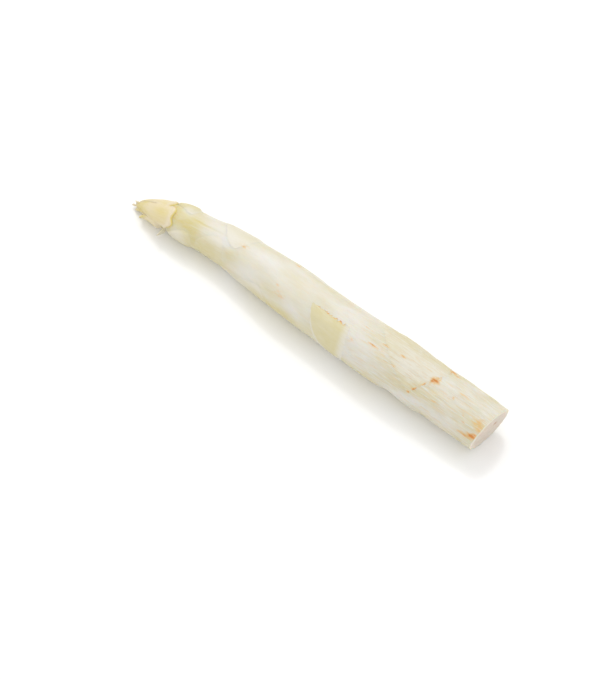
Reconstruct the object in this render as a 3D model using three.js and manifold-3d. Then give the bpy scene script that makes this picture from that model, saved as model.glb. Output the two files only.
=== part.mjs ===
// A trimmed white asparagus spear lying on its side: one fleshy stem, the scale leaves pressed
// along it, and the overlapping scales that close its growing tip.
// Millimetres and degrees. +Z is up, +X runs from the tip to the cut end, -Y is the front.
// The origin is at the bottom centre of the spear's bounding box.
import * as THREE from "three";
import { mergeVertices } from "three/addons/utils/BufferGeometryUtils.js";
import Module from "manifold-3d";

const wasm = await Module();
wasm.setup();

// ---------------------------------------------------------------- driving dimensions
const CUT_AT = 200; // distance from the tip to the middle of the cut face
const CUT_LEAN = 0.165; // the knife went further along the spear at the top, per mm of height
const CUT_SKEW = 0.09; // and a little further at the back, per mm of width
const PRESS = 0.15; // how much the underside is flattened where the flesh bears on the surface
const TIP_LIFT = 0.4; // height of the very tip above the surface that the stem rests on
const TIP_LIFT_REACH = 50; // where that lift has run out, from the tip

// Half the spear's thickness over everything, leaves included: [from the tip, radius].
const GIRTH = [
  [0, 1.5], [3, 2.4], [7, 4.1], [14, 6.3], [20, 7.4], [27, 8.4], [34, 8.5], [40, 8.6], [47, 9.05],
  [61, 9.9], [74, 10.7], [88, 11.35], [101, 11.5], [115, 11.5], [128, 11.9], [142, 12.15],
  [149, 12.25], [156, 12.1], [163, 11.7], [170, 11.55], [183, 11.5], [206, 11.3],
];
// How much of that thickness is leaves rather than stem.
const COVER = [
  [0, 3], [7, 2.95], [14, 2.4], [20, 1.8], [25, 1.3], [32, 1.1], [47, 0.85], [55, 0.4], [62, 0],
];
// How far the spear's middle line wanders sideways from straight.
const SWAY = [
  [0, -2.8], [15, -2.4], [30, -0.2], [50, 1.7], [70, 1.6], [90, 0.5], [115, 0.1], [140, -0.3],
  [170, 0.3], [206, 0.2],
];

const STEM_TOP = 4.6; // where the stem's own growing point begins
const STEM_END = 206; // the raw stem runs past the cut, which the knife takes off
const STEM_SIDES = 32;
const STEM_STEP = 3.2; // distance between two rings of the stem

const LEAF_GAP = 0.35; // air between a leaf and what it lies on
const LEAF_THICK = 0.42; // a leaf at its base
const LEAF_THIN = 0.28; // a leaf at its point
const LAYER = 0.78; // from one layer of tip scales to the next
const DIVE = 0.2; // share of a leaf's length over which it comes up from the stem
const LEAF_COLUMN = 11; // degrees of wrap between two columns of a leaf's vertices
const LEAF_ROW = 3.6; // longest distance between two rows, which crowd towards the point

// ---------------------------------------------------------------- colours
const flesh = new THREE.MeshStandardMaterial({ color: 0xe6e1c9, roughness: 0.45, metalness: 0 });
const bractSkin = new THREE.MeshStandardMaterial({ color: 0xe0dab4, roughness: 0.5, metalness: 0 });
const scaleSkin = new THREE.MeshStandardMaterial({ color: 0xe6d9bb, roughness: 0.55, metalness: 0 });

// ---------------------------------------------------------------- the leaves
// base: distance of the attachment from the tip; at: angle of the leaf's middle, from the top
// towards the front; half: half the angle that it wraps at its base; long: base to point;
// bow: how much further from the tip the middle of the base sits than its ends;
// side: 0 has its point over the middle of the base, -1 over its upper end;
// sharp: 1 is a triangle, more is rounder; layer: 0 is outermost; curl: how far the point stands off.
const BRACTS = [
  { base: 174.5, at: -25, half: 88, long: 36, bow: 11, sharp: 1.4 },
  { base: 150, at: -112, half: 42, long: 22, bow: 4, sharp: 1.5 },
  { base: 129, at: 76, half: 56, long: 23, bow: 2, sharp: 4, side: -1 },
  { base: 104, at: -95, half: 56, long: 22, bow: 5, sharp: 1.6 },
  { base: 84, at: 108, half: 42, long: 23, bow: 4, sharp: 1.5 },
  { base: 66, at: -55, half: 80, long: 20, bow: 6, sharp: 2.2 },
  { base: 55, at: 70, half: 57, long: 17, bow: 4, sharp: 2.2 },
  { base: 46, at: -132, half: 40, long: 16, bow: 3, sharp: 1.6 },
];
const TIP_SCALES = [
  { base: 37, at: 95, half: 48, long: 15, bow: 3, sharp: 1.5, layer: 0 },
  { base: 31.5, at: -40, half: 42, long: 9, bow: 2, sharp: 1.8, layer: 0 },
  { base: 28, at: -170, half: 36, long: 10, bow: 2, sharp: 1.6, layer: 0 },
  { base: 24.5, at: 32, half: 38, long: 21.5, bow: 1, sharp: 3, layer: 0 },
  { base: 22, at: -50, half: 36, long: 20, bow: 1.5, sharp: 2.6, layer: 0 },
  { base: 21, at: 86, half: 13, long: 7, bow: 0.5, sharp: 1.2, layer: 0, curl: 3.8 },
  { base: 19, at: -120, half: 32, long: 16, bow: 1, sharp: 2.2, layer: 0 },
  { base: 17, at: 165, half: 33, long: 14, bow: 1, sharp: 2.2, layer: 0 },
  { base: 16, at: 99, half: 29, long: 12.5, bow: 0.6, sharp: 2.4, layer: 1 },
  { base: 13, at: -10, half: 37, long: 11.5, bow: 0.6, sharp: 2, layer: 1 },
  { base: 12.5, at: -85, half: 34, long: 9.5, bow: 0.5, sharp: 2, layer: 1 },
  { base: 11.4, at: -152, half: 25, long: 9, bow: 0.5, sharp: 2, layer: 1 },
  { base: 11, at: 157, half: 24, long: 8, bow: 0.4, sharp: 2, layer: 1 },
  { base: 9.6, at: 47, half: 33, long: 7, bow: 0.4, sharp: 2, layer: 2 },
  { base: 9.2, at: -25, half: 33, long: 6.6, bow: 0.4, sharp: 2, layer: 2 },
  { base: 8.8, at: -100, half: 33, long: 6.4, bow: 0.4, sharp: 2, layer: 2 },
  { base: 8.4, at: -175, half: 33, long: 5.6, bow: 0.4, sharp: 2, layer: 2 },
  { base: 8.8, at: 115, half: 29, long: 6, bow: 0.4, sharp: 2, layer: 2 },
];

// ---------------------------------------------------------------- curves
// A smooth curve through [place, value] points.
function along(points, place) {
  const last = points.length - 1;
  const at = THREE.MathUtils.clamp(place, points[0][0], points[last][0]);
  let i = 0;
  while (i < last - 1 && at > points[i + 1][0]) i += 1;
  const slope = (a, b) => (points[b][1] - points[a][1]) / (points[b][0] - points[a][0]);
  const [x0, y0] = points[i];
  const [x1, y1] = points[i + 1];
  const m0 = i === 0 ? slope(0, 1) : slope(i - 1, i + 1);
  const m1 = i + 1 === last ? slope(last - 1, last) : slope(i, i + 2);
  const h = x1 - x0;
  const s = (at - x0) / h;
  const k = 1 - s;
  return (1 + 2 * s) * k * k * y0 + s * k * k * h * m0 + s * s * (3 - 2 * s) * y1 - s * s * k * h * m1;
}

const girth = (t) => along(GIRTH, t);
const stemRadius = (t) => Math.max(0, girth(t) - along(COVER, t));
const tipLift = (t) => TIP_LIFT * Math.max(0, 1 - t / TIP_LIFT_REACH);

// The spear's middle line, t from the tip.
function middle(t) {
  return new THREE.Vector3(t, along(SWAY, t), girth(t) - PRESS + tipLift(t));
}

// The point at a distance from the middle line, angle measured from the top towards the front.
function onSpear(t, radius, angle) {
  const ahead = middle(t + 1).sub(middle(t - 1)).normalize();
  const up = new THREE.Vector3(0, 0, 1);
  up.addScaledVector(ahead, -up.dot(ahead)).normalize();
  const front = new THREE.Vector3().crossVectors(ahead, up);
  return middle(t).addScaledVector(up, radius * Math.cos(angle)).addScaledVector(front, radius * Math.sin(angle));
}

// ---------------------------------------------------------------- solids
// Moves every vertex of a geometry and leaves only closed, shared positions.
function reshaped(geometry, move) {
  const place = geometry.getAttribute("position");
  for (let i = 0; i < place.count; i += 1) {
    const p = move(place.getX(i), place.getY(i), place.getZ(i));
    place.setXYZ(i, p.x, p.y, p.z);
  }
  geometry.deleteAttribute("normal");
  geometry.deleteAttribute("uv");
  return mergeVertices(geometry, 1e-4);
}

function solidOf(geometry) {
  const vertProperties = geometry.getAttribute("position").array;
  const triVerts = new Uint32Array(geometry.index.array);
  return new wasm.Manifold(new wasm.Mesh({ numProp: 3, vertProperties, triVerts }));
}

function geometryOf(solid) {
  const made = solid.getMesh();
  const geometry = new THREE.BufferGeometry();
  geometry.setAttribute("position", new THREE.BufferAttribute(made.vertProperties, made.numProp));
  geometry.setIndex(new THREE.BufferAttribute(made.triVerts, 1));
  return geometry;
}

// The stem: a turned profile, bent along the middle line, cut by the knife at one end and
// pressed flat where it rests.
function stemGeometry() {
  const rings = Math.round((STEM_END - STEM_TOP) / STEM_STEP);
  const profile = [new THREE.Vector2(0, STEM_TOP)];
  for (let i = 1; i <= rings; i += 1) {
    const t = STEM_TOP + ((STEM_END - STEM_TOP) * i) / rings;
    profile.push(new THREE.Vector2(stemRadius(t), t));
  }
  profile.push(new THREE.Vector2(0, STEM_END));
  const turned = new THREE.LatheGeometry(profile, STEM_SIDES);
  const bent = reshaped(turned, (x, y, z) => onSpear(y, Math.hypot(x, z), Math.atan2(x, z)));

  const block = 80; // larger than the spear is thick
  const knife = new THREE.BoxGeometry(block, block, block);
  const end = middle(CUT_AT);
  const reach = (y, z) => CUT_AT + CUT_SKEW * (y - end.y) + CUT_LEAN * (z - end.z);
  const offcut = reshaped(knife, (x, y, z) => new THREE.Vector3(x < 0 ? reach(y, z) : CUT_AT + block, y, z));
  const surface = new THREE.BoxGeometry(4 * CUT_AT, block, block).translate(0, 0, -block / 2);
  const below = reshaped(surface, (x, y, z) => new THREE.Vector3(x, y, z));
  return geometryOf(solidOf(bent).subtract(solidOf(offcut)).subtract(solidOf(below)));
}

// One leaf: a slab wrapped round the stem. It leaves the stem at its base, comes up to its layer
// and narrows to its point.
function leafGeometry(leaf) {
  const { base, at, half, long, bow, sharp, side = 0, layer = 0, curl = 0 } = leaf;
  const columns = Math.ceil((2 * half) / LEAF_COLUMN);
  const rows = 2 + Math.ceil(long / LEAF_ROW);
  const slab = new THREE.BoxGeometry(2, 1, 1, columns, rows, 1);
  return reshaped(slab, (x, y, z) => {
    const v = 1 - (0.5 - y) ** 1.4; // 0 at the base, 1 at the point
    const t = base - long * v - bow * x * x * (1 - v);
    const width = half * (1 - 0.95 * v ** sharp);
    const angle = at + side * (half - width) - x * width;
    const thick = LEAF_THICK + (LEAF_THIN - LEAF_THICK) * v;
    const lowest = stemRadius(t) + LEAF_GAP;
    const risen = Math.max(lowest, girth(t) - layer * LAYER - LEAF_THICK);
    const share = THREE.MathUtils.smoothstep(v, 0, DIVE);
    const inner = lowest + (risen - lowest) * share + curl * v ** 3;
    return onSpear(t, inner + (z > 0 ? thick : 0), THREE.MathUtils.degToRad(angle));
  });
}

function part(name, geometry, material) {
  const mesh = new THREE.Mesh(geometry, material);
  mesh.name = name;
  return mesh;
}

// ---------------------------------------------------------------- assembly
const twoDigits = (n) => String(n).padStart(2, "0");

const spear = new THREE.Group();
spear.add(part("stem", stemGeometry(), flesh));
BRACTS.forEach((leaf, i) => spear.add(part(`bract_${twoDigits(i + 1)}`, leafGeometry(leaf), bractSkin)));
TIP_SCALES.forEach((leaf, i) => spear.add(part(`tip_scale_${twoDigits(i + 1)}`, leafGeometry(leaf), scaleSkin)));

// Origin at the bottom centre of the whole spear.
const box = new THREE.Box3().setFromObject(spear);
const centre = box.getCenter(new THREE.Vector3());
spear.position.set(-centre.x, -centre.y, -box.min.z);

const asparagus = new THREE.Group();
asparagus.add(spear);

export default asparagus;
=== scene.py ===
import math

import bmesh
import bpy
from mathutils import Color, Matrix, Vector, noise


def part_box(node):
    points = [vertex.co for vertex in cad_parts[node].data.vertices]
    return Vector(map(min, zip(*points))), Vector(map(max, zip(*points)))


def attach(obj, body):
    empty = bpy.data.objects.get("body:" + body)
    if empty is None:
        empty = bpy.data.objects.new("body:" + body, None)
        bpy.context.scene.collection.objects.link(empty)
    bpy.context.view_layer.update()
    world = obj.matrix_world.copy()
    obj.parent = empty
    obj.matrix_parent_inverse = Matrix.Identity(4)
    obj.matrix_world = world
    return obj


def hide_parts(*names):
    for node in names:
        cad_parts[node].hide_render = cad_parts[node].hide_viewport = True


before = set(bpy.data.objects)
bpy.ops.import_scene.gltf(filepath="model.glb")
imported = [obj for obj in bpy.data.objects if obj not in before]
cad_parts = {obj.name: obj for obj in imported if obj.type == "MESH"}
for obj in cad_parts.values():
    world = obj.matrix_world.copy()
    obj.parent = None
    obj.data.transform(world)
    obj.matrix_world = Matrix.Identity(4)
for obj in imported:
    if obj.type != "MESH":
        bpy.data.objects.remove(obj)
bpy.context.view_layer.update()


# ---------------------------------------------------------------- stem
# The shoot itself: solid, juicy flesh under a thin skin, grown as one piece. It tapers to the
# growing point, swells at each node, turns fibrous and ribbed towards the butt, and was cut
# off there with one slanting stroke of a knife.
MM = 0.001
STEM_TOP = 4.6  # millimetres from the tip, as are all lengths along the spear
CUT_AT = 200.0
CUT_LEAN = 0.165  # the knife went further along the spear at the top, per mm of height
CUT_SKEW = 0.09  # and a little further at the back, per mm of width
PRESS = 0.15  # the underside is flattened by this much where it bears on the table
TIP_LIFT = 0.4  # the tip end is raised a little off the table
TIP_LIFT_REACH = 50.0
SLANT_FROM = 165.0  # the rings of the mesh start to lean with the cut from here
NEARLY = 1e-4
PIP_ANGLE = -50  # the brown pip in the cut face
PIP_RADIUS = 3.6

# half the spear's thickness over everything, leaves included: (from the tip, radius)
GIRTH = [
    (0, 0.9), (3, 2.4), (7, 4.1), (14, 6.3), (20, 7.4), (27, 8.4), (34, 8.5), (40, 8.6),
    (47, 9.05), (61, 9.9), (74, 10.7), (88, 11.35), (101, 11.5), (115, 11.5), (128, 11.9),
    (142, 12.15), (149, 12.25), (156, 12.1), (163, 11.7), (170, 11.55), (183, 11.5), (206, 11.3),
]
# how much of that thickness is leaves rather than stem
COVER = [
    (0, 3), (7, 2.9), (14, 2.2), (20, 1.3), (24, 0.75), (28, 0.45), (40, 0.3), (55, 0.2), (62, 0),
]
# how far the spear's middle line wanders sideways
SWAY = [
    (0, -2.8), (15, -2.4), (30, -0.2), (50, 1.7), (70, 1.6), (90, 0.5), (115, 0.1), (140, -0.3),
    (170, 0.3), (206, 0.2),
]
# swellings of the flesh: (from the tip, angle, reach along, reach around, height)
SWELLINGS = [
    (131, 27, 7, 6, 0.45), (62, 6, 4, 5, 0.3), (33, 92, 4, 5, 0.3), (28, -12, 3, 4, 0.35),
    (87, -60, 6, 6, 0.3), (152, 116, 7, 8, -0.9), (166, 108, 5, 7, 0.3),
    (167, -100, 6, 6, 0.4), (120, -150, 6, 6, 0.3),
    (171, 100, 5, 9, -0.3), (40, 7, 12, 0.7, -0.22), (40, 10, 11, 1.6, 0.12),
]
# rust-brown scars in the skin, and in the last row painted orange shade behind the rims of the tip
# scales: (from the tip, angle, half length, half width, depth of colour)
SCARS_AND_RIM_SHADE = [
    (63.2, 7, 1.4, 1.0, 0.34), (62.6, 6, 4.5, 2.6, 0.2), (87.8, 34, 1.2, 0.8, 0.4),
    (87.2, -40, 1.6, 0.6, 0.8), (90, 50, 5, 2.0, 0.3), (130.8, 37, 1.6, 0.4, 0.6),
    (139.8, 22, 3.2, 0.5, 0.8), (144.8, 8, 2.8, 0.45, 0.8), (153.5, 7, 1.8, 0.5, 0.8),
    (152.5, 34, 1.6, 0.5, 0.5), (133, -2, 3, 0.35, 0.5), (145, 30, 9, 3.5, 0.16),
    (171.4, 9, 2.3, 1.6, 1.0), (169.9, 15, 0.9, 2.0, 0.6), (168.2, 23, 0.5, 1.8, 0.3),
    (166.2, 34, 0.5, 1.8, 0.25), (172.8, 0, 0.5, 1.6, 0.35), (173.5, -45, 2.6, 0.9, 1.1),
    (176, -38, 3.0, 0.6, 0.7), (163.4, 62, 1.4, 0.8, 0.8), (165, 50, 1.8, 0.4, 0.5),
    (182.2, 18, 0.7, 0.6, 0.6), (185, 0, 4.5, 0.6, 0.5), (178, 30, 12, 5, 0.12),
    (190, 36, 0.9, 0.5, 0.5), (191.8, 48, 1.2, 0.4, 0.5), (197.6, 30, 3.8, 3.0, 0.42),
    (199.5, 44, 2.6, 2.6, 0.4), (194.5, 72, 5.2, 1.0, 0.75), (198, 64, 4, 1.2, 1.0),
    (198.8, 57, 2.6, 0.6, 0.5), (176, 48, 3.0, 0.6, 0.35), (188, -70, 3, 0.8, 0.9),
    (150, -95, 3, 0.5, 0.8), (120, -120, 2, 0.6, 0.7), (98, 150, 1.6, 0.6, 0.6),
    (140, 155, 3, 0.5, 0.7), (180, 140, 2.4, 0.6, 0.8),
    # painted shade: orange lines and a dot on the flesh just behind the rolled rims of the tip scales
    (25.6, 22, 0.7, 3.2, 0.4), (24.6, 52, 0.7, 1.6, 0.35), (23.2, -13, 0.9, 0.9, 0.5),
]
# places where the flesh is whiter, the one at 29 mm and -8 degrees partly a painted highlight on a
# fold: (from the tip, angle, reach along, reach around, amount)
PALE_PATCHES = [
    (131, 27, 10, 6, 1.3), (97, 20, 18, 9, 0.55), (70, 20, 12, 9, 0.5), (56, 14, 5, 4, 0.5),
    # partly painted highlight: the second patch on this line is the fold's own pinkish white plus a
    # painted highlight on it
    (168, 75, 7, 5, 0.7), (29, -8, 5, 3.5, 0.9), (29, 72, 6, 5, 0.8), (50, 30, 6, 5, 0.4),
    (178, 22, 8, 5, 0.35),
]
# places where it is yellower; the last two are painted shade along the rims of the tip scales
YELLOW_PATCHES = [
    (33, 27, 9, 5.5, 0.75), (42, 47, 14, 7, 0.35), (40, 6, 13, 0.6, 0.5), (26, -45, 6, 5, 0.4),
    (75, 95, 40, 8, 0.5),
    # painted shade: the last band on this line and the one on the next lie just behind the rims of the
    # tip scales
    (150, -40, 30, 7, 0.2), (118, 100, 25, 6, 0.35), (25.5, 10, 1.6, 6, 0.9),
    (23.5, 60, 1.6, 4, 0.6),
]

stem_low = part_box("stem")[0]
start = stem_low.x - STEM_TOP * MM  # where the spear's tip would be on the row's X axis


def along(points, place):
    """A smooth curve through (place, value) points."""
    last = len(points) - 1
    at = min(max(place, points[0][0]), points[last][0])
    i = 0
    while i < last - 1 and at > points[i + 1][0]:
        i += 1

    def slope(a, b):
        return (points[b][1] - points[a][1]) / (points[b][0] - points[a][0])

    m0 = slope(0, 1) if i == 0 else slope(i - 1, i + 1)
    m1 = slope(last - 1, last) if i + 1 == last else slope(i, i + 2)
    h = points[i + 1][0] - points[i][0]
    s = (at - points[i][0]) / h
    k = 1 - s
    rise = (1 + 2 * s) * k * k * points[i][1] + s * s * (3 - 2 * s) * points[i + 1][1]
    return rise + s * k * k * h * m0 - s * s * k * h * m1


def girth(t):
    return along(GIRTH, t)


def stem_radius(t):
    return max(0.0, girth(t) - along(COVER, t))


def ease(x, low, high):
    """0 below low, 1 above high, smooth between."""
    s = min(max((x - low) / (high - low), 0.0), 1.0)
    return s * s * (3 - 2 * s)


def middle(t):
    lift = TIP_LIFT * max(0.0, 1 - t / TIP_LIFT_REACH)
    return Vector((t, along(SWAY, t), girth(t) - PRESS + lift))


def on_spear(t, radius, angle):
    """The point, in metres, at a distance from the middle line; angle from the top to the front."""
    ahead = (middle(t + 1) - middle(t - 1)).normalized()
    up = Vector((0, 0, 1))
    up = (up - ahead * up.dot(ahead)).normalized()
    front = ahead.cross(up)
    p = middle(t) + up * (radius * math.cos(angle)) + front * (radius * math.sin(angle))
    return Vector((start + p.x * MM, p.y * MM, max(p.z * MM, 0.0)))


def grain(t, radius, angle):
    """Where a point is along the fibres, in millimetres: the spear straightened out."""
    return Vector((radius * math.cos(angle), radius * math.sin(angle), t))


def patches(places, t, angle, radius):
    """How strongly a point is inside any of the named places."""
    total = 0.0
    for at, turn, reach_along, reach_around, amount in places:
        d = (t - at) / reach_along
        if abs(d) < 2.4:
            off = math.remainder(angle - math.radians(turn), math.tau) * radius / reach_around
            if abs(off) < 2.4:
                total += amount * math.exp(-1.6 * (d * d + off * off))
    return total


def ribs(t, angle, radius):
    """Lengthwise ribs in the skin, stronger towards the butt."""
    g = grain(t, radius, angle)
    butt = ease(t, 118, 175)
    broad = noise.noise(Vector((g.x * 0.3, g.y * 0.3, g.z * 0.018)))
    fine = noise.noise(Vector((g.x * 1.25, g.y * 1.25, g.z * 0.07 + 40)))
    wisp = noise.noise(Vector((g.x * 0.7, g.y * 0.7, g.z * 0.16 + 80)))
    return 0.16 * broad + (0.02 + 0.2 * butt) * fine + (0.02 + 0.2 * butt) * wisp


def flesh_relief(t, angle, radius):
    g = grain(t, radius, angle)
    bend = noise.noise(Vector((g.x * 0.11, g.y * 0.11, g.z * 0.05 + 9)))
    dimple = noise.noise(Vector((g.x * 0.5, g.y * 0.5, g.z * 0.28 + 70)))
    scar = min(patches(SCARS_AND_RIM_SHADE, t, angle, radius), 1.0)
    swell = patches(SWELLINGS, t, angle, radius)
    return ribs(t, angle, radius) + 0.28 * bend + 0.06 * dimple + swell - 0.06 * scar


def tone_of(t, angle, radius):
    """Rust, yellow, paleness and fibre of the flesh at a point, with painted shade: the underside made
    yellower, and orange behind the rims of the tip scales.
    """
    g = grain(t, radius, angle)
    cloud = noise.noise(Vector((g.x * 0.16, g.y * 0.16, g.z * 0.06 + 3)))
    # painted shade: the underside, turned from the light, is made yellower
    low = ease(math.cos(angle - math.radians(28)), 0.75, -0.5)
    rust = patches(SCARS_AND_RIM_SHADE, t, angle, radius)
    yellow = 0.16 + 0.45 * cloud + 0.4 * low + 0.36 * ease(t, 62, 24)
    stained = patches(YELLOW_PATCHES, t, angle, radius)
    yellow += stained
    pale = 0.3 - 0.8 * cloud + patches(PALE_PATCHES, t, angle, radius) - 0.7 * stained
    fibre = 0.32 + 0.68 * ease(t, 90, 155)
    return (rust, min(max(yellow, 0), 1), min(max(pale, 0), 1), fibre)


def paint(mesh, grains, tones):
    """Gives every vertex its place along the fibres and its tone, for the material to read."""
    where = mesh.attributes.new("grain", "FLOAT_VECTOR", "POINT")
    where.data.foreach_set("vector", [c for g in grains for c in g])
    tone = mesh.attributes.new("tone", "FLOAT_COLOR", "POINT")
    tone.data.foreach_set("color", [c for four in tones for c in four])


def piece(name, bm, materials, node):
    """Makes the finished object, at the origin, and ties it to the frame."""
    mesh = bpy.data.meshes.new(name)
    bm.to_mesh(mesh)
    bm.free()
    mesh.shade_smooth()
    for material in materials:
        mesh.materials.append(material)
    obj = bpy.data.objects.new(name, mesh)
    bpy.context.scene.collection.objects.link(obj)
    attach(obj, "root")
    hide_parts(node)
    return obj


class Finish:
    """A material being put together, node by node."""

    def __init__(self, name):
        self.material = bpy.data.materials.new(name)
        self.material.use_nodes = True
        self.nodes = self.material.node_tree.nodes
        self.links = self.material.node_tree.links
        self.shader = self.nodes["Principled BSDF"]

    def feed(self, socket, value):
        if isinstance(value, bpy.types.NodeSocket):
            self.links.new(value, socket)
        else:
            socket.default_value = value

    def node(self, kind, **inputs):
        made = self.nodes.new(kind)
        for key, value in inputs.items():
            self.feed(made.inputs[key.replace("_", " ")], value)
        return made

    def attribute(self, name):
        made = self.nodes.new("ShaderNodeAttribute")
        made.attribute_name = name
        return made

    def streaks(self, where, across, lengthwise, detail=3.0, rough=0.55, shift=0.0):
        """Noise with so many cells per millimetre across and along the fibres."""
        stretch = self.node("ShaderNodeMapping", Vector=where)
        stretch.inputs["Scale"].default_value = (across, across, lengthwise)
        stretch.inputs["Location"].default_value = (shift, shift, shift)
        made = self.node("ShaderNodeTexNoise", Vector=stretch.outputs["Vector"])
        made.inputs["Scale"].default_value = 1.0
        made.inputs["Detail"].default_value = detail
        made.inputs["Roughness"].default_value = rough
        return made.outputs["Fac"]

    def math(self, operation, a, b=0.0, c=0.0):
        made = self.nodes.new("ShaderNodeMath")
        made.operation = operation
        for socket, value in zip(made.inputs, (a, b, c)):
            self.feed(socket, value)
        return made.outputs[0]

    def band(self, value, low, high, to_low=0.0, to_high=1.0):
        made = self.nodes.new("ShaderNodeMapRange")
        made.interpolation_type = "SMOOTHSTEP"
        self.feed(made.inputs["Value"], value)
        made.inputs["From Min"].default_value = low
        made.inputs["From Max"].default_value = high
        made.inputs["To Min"].default_value = to_low
        made.inputs["To Max"].default_value = to_high
        return made.outputs["Result"]

    def blend(self, amount, a, b):
        made = self.nodes.new("ShaderNodeMix")
        made.data_type = "RGBA"
        self.feed(made.inputs["Factor"], amount)
        self.feed(made.inputs["A"], a)
        self.feed(made.inputs["B"], b)
        return made.outputs["Result"]

    def bump(self, height, distance, under=None):
        made = self.node("ShaderNodeBump", Height=height)
        made.inputs["Strength"].default_value = 1.0
        made.inputs["Distance"].default_value = distance
        if under is not None:
            self.links.new(under, made.inputs["Normal"])
        return made.outputs["Normal"]


def colour(red, green, blue):
    """A display colour, 0 to 255, as the light it stands for."""
    c = Color((red / 255, green / 255, blue / 255)).from_srgb_to_scene_linear()
    return (c.r, c.g, c.b, 1.0)


GLOW_COLOURS = (1.0, 0.72, 0.42)  # red light travels furthest through the flesh
WET_IOR = 1.4


def plant_skin(name, ground, yellow, pale, tan, gloss, glow):
    """Moist plant skin: clouded ground colour, yellow and pale places, tan fibres, rust scars, and
    painted orange shade along the rims of the tip scales.
    """
    f = Finish(name)
    where = f.attribute("grain").outputs["Vector"]
    tone = f.attribute("tone")
    split = f.node("ShaderNodeSeparateColor", Color=tone.outputs["Color"])
    rust_and_rim_shade, yellow_here, pale_here = split.outputs
    fibre_here = tone.outputs["Alpha"]

    cloud = f.streaks(where, 0.22, 0.09)
    mottle = f.streaks(where, 0.9, 0.3, shift=5)
    fine = f.streaks(where, 2.6, 0.12, detail=4, rough=0.6, shift=11)
    hair = f.streaks(where, 6.5, 0.25, detail=2, shift=23)
    speck = f.streaks(where, 1.6, 0.5, detail=4, rough=0.65, shift=31)

    soft = f.blend(f.band(cloud, 0.35, 0.65), ground, pale)
    soft = f.blend(0.5, ground, soft)
    yellow_mask = f.math("MULTIPLY", yellow_here, f.band(mottle, 0.25, 0.7, 0.65, 1.0))
    skin = f.blend(yellow_mask, soft, yellow)
    pale_mask = f.math("MULTIPLY", pale_here, f.band(fine, 0.3, 0.65, 0.55, 1.0))
    skin = f.blend(pale_mask, skin, pale)

    strand = f.band(fine, 0.52, 0.66)
    tan_mask = f.math("MULTIPLY", f.math("MULTIPLY", strand, fibre_here), 0.55)
    skin = f.blend(tan_mask, skin, tan)
    white_strand = f.math("MULTIPLY", f.band(fine, 0.47, 0.36), f.math("MULTIPLY", fibre_here, 0.85))
    skin = f.blend(white_strand, skin, pale)

    # the red tone holds both rust and the painted orange shade at the tip-scale rims; both are drawn
    # in the two orange colours below
    edge = f.math("ADD", rust_and_rim_shade, f.math("MULTIPLY", f.math("SUBTRACT", speck, 0.5), 1.2))
    edge = f.math("MULTIPLY", edge, f.band(rust_and_rim_shade, 0.02, 0.12))
    stain_and_rim_shade = f.math("MULTIPLY", f.band(edge, 0.08, 0.55), 0.6)
    skin = f.blend(stain_and_rim_shade, skin, colour(232, 186, 104))
    skin = f.blend(f.math("MULTIPLY", f.band(edge, 0.5, 0.95), 0.85), skin, colour(216, 130, 46))
    f.feed(f.shader.inputs["Base Color"], skin)

    f.feed(f.shader.inputs["Roughness"], f.band(mottle, 0.2, 0.8, gloss, gloss + 0.16))
    lengthwise = f.math("MULTIPLY", fine, f.math("MULTIPLY_ADD", fibre_here, 0.8, 0.25))
    under = f.bump(lengthwise, 0.0003)
    f.feed(f.shader.inputs["Normal"], f.bump(hair, 0.00003, under))
    f.shader.inputs["Subsurface Weight"].default_value = glow
    f.shader.inputs["Subsurface Radius"].default_value = GLOW_COLOURS
    f.shader.inputs["Subsurface Scale"].default_value = 0.0018
    f.shader.inputs["IOR"].default_value = WET_IOR
    f.shader.inputs["Specular IOR Level"].default_value = 0.4
    return f.material


stem_skin = plant_skin(
    "stem_skin",
    ground=colour(218, 213, 192),
    yellow=colour(215, 203, 143),
    pale=colour(230, 228, 222),
    tan=colour(226, 200, 150),
    gloss=0.36,
    glow=0.5,
)

# the cut face: wet, pinkish white, with the strands standing in it as dots
cut = Finish("cut_flesh")
cut_place = cut.attribute("grain").outputs["Vector"]
pith = cut.streaks(cut_place, 0.55, 0.1, shift=3)
strands = cut.node("ShaderNodeTexVoronoi", Vector=cut_place)
strands.inputs["Scale"].default_value = 0.75
dots = cut.band(strands.outputs["Distance"], 0.32, 0.1)
cut_tone = cut.attribute("tone")
cut_split = cut.node("ShaderNodeSeparateColor", Color=cut_tone.outputs["Color"])
face = cut.blend(cut.band(pith, 0.3, 0.7), colour(216, 200, 182), colour(226, 214, 200))
face = cut.blend(cut.math("MULTIPLY", dots, 0.35), face, colour(236, 230, 214))
face = cut.blend(cut_split.outputs["Blue"], face, colour(232, 226, 210))
face = cut.blend(cut_split.outputs["Red"], face, colour(186, 128, 60))
cut.feed(cut.shader.inputs["Base Color"], face)
cut.feed(cut.shader.inputs["Roughness"], cut.band(pith, 0.2, 0.8, 0.38, 0.6))
cut.feed(cut.shader.inputs["Normal"], cut.bump(cut.streaks(cut_place, 1.9, 0.5, shift=9), 0.00025))
cut.shader.inputs["Subsurface Weight"].default_value = 0.6
cut.shader.inputs["Subsurface Radius"].default_value = GLOW_COLOURS
cut.shader.inputs["Subsurface Scale"].default_value = 0.003
cut.shader.inputs["IOR"].default_value = WET_IOR

STEM_SIDES = 150
TOP_RINGS = 3
STEM_RINGS = 410
FACE_RINGS = 26

bm = bmesh.new()
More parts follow.
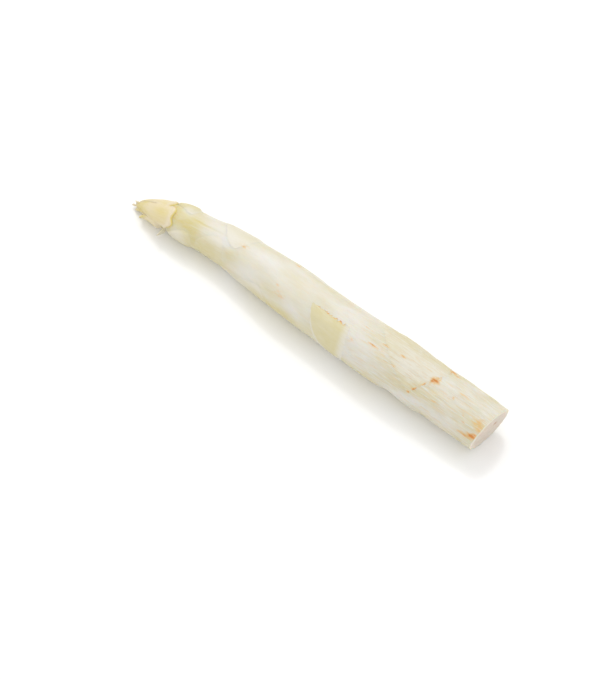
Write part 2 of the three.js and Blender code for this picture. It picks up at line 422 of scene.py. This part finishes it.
# half the outline of a plain rod, spun round the middle line and then given its real shape
corners = [
    bm.verts.new(p)
    for p in ((0, 0, STEM_TOP), (1, 0, STEM_TOP), (1, 0, CUT_AT), (0, 0, CUT_AT))
]
outline = [bm.edges.new(pair) for pair in zip(corners, corners[1:])]
for line, cuts in zip(outline, (TOP_RINGS, STEM_RINGS, FACE_RINGS)):
    bmesh.ops.subdivide_edges(bm, edges=[line], cuts=cuts)
bmesh.ops.spin(
    bm, geom=bm.verts[:] + bm.edges[:], cent=(0, 0, 0), axis=(0, 0, 1), angle=math.tau,
    steps=STEM_SIDES, use_merge=True,
)
bmesh.ops.remove_doubles(bm, verts=bm.verts, dist=1e-5)
for f in bm.faces:
    f.material_index = int(all(v.co.z > CUT_AT - NEARLY for v in f.verts))
grains, tones = [], []
for v in bm.verts:
    share = math.hypot(v.co.x, v.co.y)  # 1 on the skin, 0 on the middle line
    angle = math.atan2(v.co.y, v.co.x)
    t = v.co.z
    on_face = t > CUT_AT - NEARLY
    slant = (CUT_LEAN * math.cos(angle) - CUT_SKEW * math.sin(angle)) * girth(t) * share
    t += slant * (1.0 if on_face else ease(t, SLANT_FROM, CUT_AT))
    skin = stem_radius(t)
    radius = share * (skin + ease(share, 0.5, 1) * flesh_relief(t, angle, skin))
    if on_face:
        rough = noise.noise(grain(0, radius, angle) * 0.9)
        t += 0.12 * rough - 0.35 * share**14 - 0.25 * (1 - share * share)
        pip = patches([(0, PIP_ANGLE, 1, 0.9, 1)], 0, angle, PIP_RADIUS)
        pip *= math.exp(-1.5 * (radius - PIP_RADIUS) ** 2)
        tones.append((min(1.3 * pip, 1), 0, ease(share, 0.8, 0.98), 0))
    else:
        tones.append(tone_of(t, angle, skin))
    grains.append(grain(t, radius, angle))
    v.co = on_spear(t, radius, angle)
bmesh.ops.recalc_face_normals(bm, faces=bm.faces)
stem = piece("stem_flesh", bm, (stem_skin, cut.material), "stem")
paint(stem.data, grains, tones)


# ---------------------------------------------------------------- scale leaves along the stem
# One thin, tough leaf grows at each node and lies flat against the stem, its point towards the
# tip. The older ones near the butt are half torn away, with dry brown edges.
LEAF_THICK = 0.42
LAYER = 0.78  # how much deeper each layer of tip scales lies than the one over it
LEAF_GAP = 0.35
LEAF_ROOT = 0.3  # leaves reach this far into the stem


def leaf(
    name, node, slot, material, base, at, half, long, bow, sharp,
    side=0.0, bowing=2.0, flush=False, layer=0, curl=0.0, curling=3.0, rim=0.0, tuck=0.0,
    edge=0.12, ragged=0.0, dive=0.2, wave=0.0, blunt=0.03, press=0.0, thick=LEAF_THICK,
    seed=0, columns=44, rows=56, tone=None,
):
    """A leaf wrapped round the stem.

    base, at, half: where its base sits, the angle of its middle and half the angle it wraps.
    long, bow, bowing, sharp, side: base to point, how far and how evenly the base curves, how
    round the leaf is, and where its point sits over the base. A flush leaf has grown against
    the stem. Otherwise layer, curl, rim and tuck say how many leaves lie over it, how far its
    point stands off, how rolled the rim of its base is and how far one margin slips under.
    thick, edge: its thickness in the middle and at its edges. dive is the share of its length
    over which it rises out of the stem, press how far its margins are pressed down. ragged,
    wave and blunt say how torn its margins, how wavy its base and how frayed its point are.
    """
    bm = bmesh.new()
    bmesh.ops.create_grid(bm, x_segments=columns, y_segments=rows, size=1.0)
    upper = bmesh.ops.extrude_face_region(bm, geom=bm.faces[:], use_keep_orig=True)
    upper = [v for v in upper["geom"] if isinstance(v, bmesh.types.BMVert)]
    bmesh.ops.translate(bm, vec=(0, 0, 1), verts=upper)
    grains, tones = [], []
    for vert in bm.verts:
        x = math.sin(vert.co.x * math.pi / 2)  # -1 and 1 at the two margins
        v = 0.5 - 0.5 * math.cos((vert.co.y + 1) * math.pi / 2)  # 0 at the base, 1 at the point
        top = vert.co.z > 0.5
        margin = ease(abs(x), 0.72, 1.0)
        end = max(margin, ease(v, 0.86, 1.0))
        nibble = noise.noise(Vector((x * 3, v * long * 0.9, seed * 7.3)))
        fray = noise.noise(Vector((x * 6, v * long * 2.4, seed * 3.1 + 50)))
        t = base - long * v - bow * abs(x) ** bowing * (1 - v)
        t += (0.5 * nibble + 0.3 * fray) * ragged * v * (0.4 + margin)
        t += wave * noise.noise(Vector((x * 1.9, 0, seed * 9.1))) * (1 - v) ** 5
        t += 2.4 * blunt * noise.noise(Vector((x * 4, 0, seed * 4.7))) * ease(v, 0.6, 1.0)
        width = half * (1 - (1 - blunt) * v**sharp)
        jag = width * ragged * margin * (0.10 * nibble + 0.06 * fray)
        angle = math.radians(at + side * (half - width) - x * (width + jag))
        flesh = stem_radius(t)
        share = ease(v, 0, dive)
        veins = 0.05 * noise.noise(Vector((x * half * 0.2, v * 1.2, seed * 5.7)))
        veins += 0.05 * math.exp(-((x / 0.12) ** 2)) * (1 - v)
        crumple = 0.1 * noise.noise(Vector((x * half * 0.06, v * long * 0.25, seed * 2.3 + 8)))
        if flush:
            height = (thick + veins) * (1 - end) * share + edge * end if top else -LEAF_ROOT
            radius = flesh + height + curl * v**curling + flesh_relief(t, angle, flesh)
        else:
            risen = max(flesh + LEAF_GAP, girth(t) - layer * LAYER - thick) - flesh
            height = -0.2 * (1 - share) + risen * share + curl * v**curling - tuck * x * margin
            height += crumple + flesh_relief(t, angle, flesh) * (1 - 0.7 * share)
            height -= press * margin * share
            if top:
                height += (thick + veins) * (1 - end) + edge * end
                height += 0.3 * rim * math.exp(-(((v - 0.045) / 0.03) ** 2))
            else:
                height -= (height + LEAF_ROOT) * ease(v, 0.97, 0.8)  # fleshy right through to its base
            radius = flesh + height
        grains.append(grain(t + 31 * seed, radius, angle))
        tones.append(tone(t, x, v, angle, seed))
        vert.co = on_spear(t, radius, angle)
    bmesh.ops.recalc_face_normals(bm, faces=bm.faces)
    made = piece(name, bm, (material,), node)
    paint(made.data, grains, tones)


def bract_tone(t, x, v, angle, seed):
    """Nearly the colour of the flesh under it, with a paler base and margins."""
    rust, yellow, pale, fibre = tone_of(t, angle, girth(t))
    near_margin = max(ease(abs(x), 0.86, 1.0), ease(v, 0.9, 1.0))
    dry = near_margin * ease(noise.noise(Vector((x * 2, v * 9, seed * 1.7))), 0.05, 0.4)
    pale = min(pale + 0.35 * near_margin + 0.3 * ease(v, 0.2, 0.0), 1)
    return (rust + 0.45 * dry * ease(t, 90, 110), yellow, pale, 0.5 * fibre)


def faint_tone(t, x, v, angle, seed):
    """A leaf that can hardly be told from the flesh."""
    return tone_of(t, angle, girth(t))


def torn_tone(t, x, v, angle, seed):
    """The leaf with the dry, ragged upper edge."""
    cloud = noise.noise(Vector((x * 1.3, v * 2, seed * 4.1)))
    upper = ease(x, 0.9, 1.0)
    ragged = ease(noise.noise(Vector((v * 14, 0, 2.2))), -0.15, 0.2)
    rust = 0.8 * upper * (0.55 + 0.45 * ragged) * ease(v, 0.05, 0.2) * ease(v, 0.98, 0.85)
    pale = 0.9 * ease(v, 0.2, 0.0) + 0.8 * ease(x, -0.6, -0.9)
    return (rust, 0.66 + 0.2 * cloud - 0.4 * pale, min(pale, 1), 0.0)


def butt_tone(t, x, v, angle, seed):
    """The lowest leaf, as fibrous as the stem round it."""
    rust, yellow, pale, fibre = tone_of(t, angle, girth(t))
    base = ease(v, 0.05, 0.0) * ease(noise.noise(Vector((x * 9, 0, 4.4))), 0.0, 0.3)
    return (rust + 0.7 * base, yellow, pale, fibre)


bract_skin = plant_skin(
    "bract_skin",
    ground=colour(219, 213, 186),
    yellow=colour(215, 204, 151),
    pale=colour(230, 226, 215),
    tan=colour(222, 192, 142),
    gloss=0.4,
    glow=0.0,
)

BRACTS = [
    dict(base=174.5, at=-25, half=88, long=36, bow=11, bowing=1.2, sharp=1.4, ragged=0.3, edge=0.05,
         thick=0.25, tone=butt_tone, columns=90, rows=90),
    dict(base=150, at=-112, half=42, long=22, bow=4, sharp=1.5, ragged=0.5),
    dict(base=129, at=76, half=56, long=23.5, bow=2, sharp=2.3, side=-1, ragged=1.0, edge=0.1,
         tone=torn_tone, columns=80, rows=80),
    dict(base=104, at=-95, half=56, long=22, bow=5, sharp=1.6, ragged=0.3),
    dict(base=84, at=108, half=42, long=23, bow=4, sharp=1.5, ragged=0.2),
    dict(base=66, at=-55, half=80, long=20, bow=6, sharp=2.2, ragged=0.25, thick=0.35, edge=0.22),
    dict(base=55, at=70, half=57, long=17, bow=4, sharp=2.2, ragged=0.1, thick=0.13, edge=-0.04,
         tone=faint_tone),
    dict(base=46, at=-132, half=40, long=16, bow=3, sharp=1.6, ragged=0.2),
]
for i, shape in enumerate(BRACTS, start=1):
    node = f"bract_{i:02d}"
    shape = {"material": bract_skin, "tone": bract_tone, "thick": 0.3, "edge": 0.07, **shape}
    leaf(f"{node}_leaf", node, "bract", seed=i, flush=True, **shape)


# ---------------------------------------------------------------- the closed tip
# Younger scale leaves crowd over one another and close the growing point. They are thicker and
# softer than the bracts, flushed pink, with rolled rims at the base and thin, frayed points.
tip_skin = plant_skin(
    "tip_scale_skin",
    ground=colour(228, 213, 162),
    yellow=colour(218, 202, 114),
    pale=colour(233, 221, 195),
    tan=colour(222, 188, 122),
    gloss=0.42,
    glow=0.0,
)


def tip_tone(t, x, v, angle, seed):
    """Green-yellow towards the point, flushed paler towards the base, with painted orange-yellow shade
    just under the rim.
    """
    cloud = noise.noise(Vector((x * 1.5, v * 3, seed * 6.1)))
    streak = noise.noise(Vector((x * 7, v * 2, seed * 2.9)))
    margin = ease(abs(x), 0.84, 1.0)
    yellow = 0.18 + 0.4 * cloud + 0.25 * streak + 0.9 * ease(t, 14, 6) - 0.5 * ease(t, 2.5, 0)
    pale = 0.45 - 0.5 * cloud + 0.45 * margin + 0.7 * ease(v, 0.16, 0.06) + ease(t, 2.5, 0)
    # painted shade: under the rolled rim the scale is made orange-yellow and never pale; rust below is
    # the dry points plus this painted shade
    painted_rim_shade = ease(v, 0.04, 0.01)
    rust = 0.06 * ease(v, 0.93, 1.0) + 0.16 * painted_rim_shade
    return (rust, min(max(yellow, painted_rim_shade), 1), min(max(pale - 2 * painted_rim_shade, 0), 1), 0.35)


TIP_SCALES = [
    dict(base=37, at=95, half=48, long=15, bow=3, sharp=1.5, flush=True, thick=0.6, edge=-0.05,
         material=bract_skin, tone=faint_tone),
    dict(base=33, at=-46, half=42, long=11, bow=2, sharp=1.8, flush=True, thick=0.8, edge=0.25,
         material=bract_skin, tone=bract_tone),
    dict(base=28, at=-170, half=36, long=10, bow=2, sharp=1.6, flush=True, thick=0.5),
    dict(base=25.2, at=34, half=46, long=24, bow=2.4, bowing=4, sharp=2.8, rim=1.3, dive=0.06,
         wave=1.4),
    dict(base=22, at=-50, half=48, long=22, bow=1.5, sharp=2.6, rim=1.0, dive=0.07, wave=1.4),
    dict(base=21.4, at=98, half=14, long=2.0, bow=0.3, sharp=1.1, curl=4.0, curling=1.1, tuck=0.0,
         press=0, material=bract_skin, tone=faint_tone),
    dict(base=19, at=-120, half=44, long=17.6, bow=1, sharp=2.6),
    dict(base=17, at=165, half=44, long=15.6, bow=1, sharp=2.6),
    dict(base=18.5, at=98, half=38, long=11.6, bow=0.6, sharp=1.8, curl=2.4, curling=6.0, blunt=0.1),
    dict(base=13, at=-10, half=50, long=13.2, bow=0.6, sharp=2.0, layer=1),
    dict(base=12.5, at=-85, half=44, long=12, bow=0.5, sharp=2.0, layer=1),
    dict(base=11.4, at=-152, half=40, long=10.6, bow=0.5, sharp=2.0, layer=1),
    dict(base=13, at=140, half=44, long=12, bow=0.4, sharp=2.0, layer=0.6),
    dict(base=9.6, at=60, half=46, long=10.4, bow=0.4, sharp=1.4, layer=1, curl=1.7, blunt=0.25),
    dict(base=9.2, at=-25, half=42, long=10.2, bow=0.4, sharp=1.4, layer=1.4, curl=1.1, blunt=0.25),
    dict(base=8.8, at=-100, half=42, long=9.4, bow=0.4, sharp=1.4, layer=1.4, curl=1.4, blunt=0.25),
    dict(base=8.4, at=-175, half=42, long=9, bow=0.4, sharp=1.4, layer=1.4, curl=1.0, blunt=0.25),
    dict(base=9.8, at=108, half=40, long=8.8, bow=0.4, sharp=1.3, layer=0.8, curl=2.2, blunt=0.25),
]
for i, shape in enumerate(TIP_SCALES, start=1):
    node = f"tip_scale_{i:02d}"
    usual = {"material": tip_skin, "tone": tip_tone, "ragged": 0.8, "edge": 0.08}
    shape = {**usual, "tuck": 0.3, "press": 0.3, **shape}
    leaf(f"{node}_leaf", node, "tip_scale", seed=20 + i, columns=36, rows=48, **shape)


# ---------------------------------------------------------------- studio
# A glossy white table, a broad soft light high at the back left, and white walls all round.
table = Finish("white_table")
table_grain = table.node("ShaderNodeTexCoord").outputs["Object"]
table_cloud = table.node("ShaderNodeTexNoise", Vector=table_grain)
table_cloud.inputs["Scale"].default_value = 3.0
table.feed(
    table.shader.inputs["Base Color"],
    table.blend(table_cloud.outputs["Fac"], (0.95, 0.955, 0.96, 1), (0.965, 0.968, 0.97, 1)),
)
table.shader.inputs["Roughness"].default_value = 0.14
table.shader.inputs["Specular IOR Level"].default_value = 0.5
bm = bmesh.new()
bmesh.ops.create_grid(bm, x_segments=1, y_segments=1, size=3.0)
table_mesh = bpy.data.meshes.new("table_top")
bm.to_mesh(table_mesh)
bm.free()
table_mesh.materials.append(table.material)
table_top = bpy.data.objects.new("table_top", table_mesh)
bpy.context.scene.collection.objects.link(table_top)

walls = bpy.data.worlds.new("white_walls")
walls.use_nodes = True
walls.node_tree.nodes["Background"].inputs["Color"].default_value = (1.0, 0.995, 0.985, 1)
walls.node_tree.nodes["Background"].inputs["Strength"].default_value = 1.0
bpy.context.scene.world = walls


def soft_light(name, place, size, watts, tint):
    lamp = bpy.data.lights.new(name, "AREA")
    lamp.shape = "DISK"
    lamp.size = size
    lamp.energy = watts
    lamp.color = tint
    made = bpy.data.objects.new(name, lamp)
    bpy.context.scene.collection.objects.link(made)
    made.location = place
    made.rotation_euler = (-Vector(place)).to_track_quat("-Z", "Y").to_euler()


soft_light("overhead_softbox", (-0.35, 0.45, 0.9), 0.7, 2.1, (1.0, 0.985, 0.96))

view = bpy.context.scene.view_settings
view.view_transform = "Standard"
view.look = "None"
view.exposure = 0.0
view.gamma = 1.0

# The camera stands in front, round towards the cut end, and looks down at the spear.
AZIMUTH = math.radians(40)
ELEVATION = math.radians(55)
DISTANCE = 1.1
LENS = 133.4
AIM_LEFT = 0.00378  # the camera points this far beside and below the middle of the spear
AIM_DOWN = 0.01593
back = Vector((
    math.sin(AZIMUTH) * math.cos(ELEVATION),
    -math.cos(AZIMUTH) * math.cos(ELEVATION),
    math.sin(ELEVATION),
))
facing = (-back).to_track_quat("-Z", "Y")
heart = Vector((start + 100 * MM, 0, 12 * MM))
aim = heart - facing @ Vector((AIM_LEFT, AIM_DOWN, 0))
camera_data = bpy.data.cameras.new("camera")
camera_data.lens = LENS
camera_data.sensor_width = 36.0
camera = bpy.data.objects.new("camera", camera_data)
bpy.context.scene.collection.objects.link(camera)
camera.location = heart + back * DISTANCE
camera.rotation_euler = (aim - camera.location).to_track_quat("-Z", "Y").to_euler()
bpy.context.scene.camera = camera
